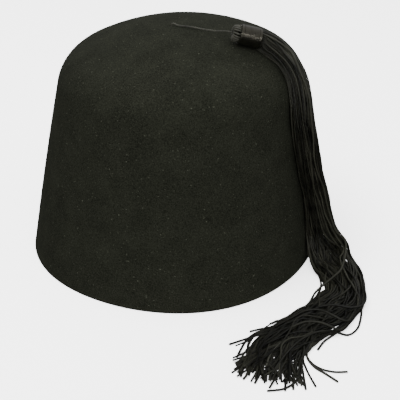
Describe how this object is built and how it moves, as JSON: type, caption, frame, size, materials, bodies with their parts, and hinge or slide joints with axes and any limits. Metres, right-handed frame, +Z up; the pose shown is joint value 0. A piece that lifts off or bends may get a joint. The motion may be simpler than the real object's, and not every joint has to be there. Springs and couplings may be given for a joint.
{
  "type": "fez hat",
  "caption": "Brimless tapered felt hat with a domed top, worn on the head, with a long corded tassel that hangs from a cord at the top centre and trails down the side",
  "frame": {"origin": "centre of the base rim, on the surface that the hat stands on", "axes": "+Z up through the top; +X towards the side where the tassel falls, along the longer width of the oval rim; -Y is the front"},
  "size_m": [0.2136, 0.2503, 0.1552],
  "materials": {
    "black_felt": "matt fulled wool felt with a short nap",
    "black_tassel_cord": "fine twisted cords with a soft sheen",
    "black_binding_thread": "smooth thread wound in a close spiral, slightly glossy"
  },
  "bodies": {
    "root": {"crown": "black_felt", "tassel": "black_tassel_cord", "tassel_binding": "black_binding_thread", "tassel_cord": "black_tassel_cord"}
  },
  "joints": []
}
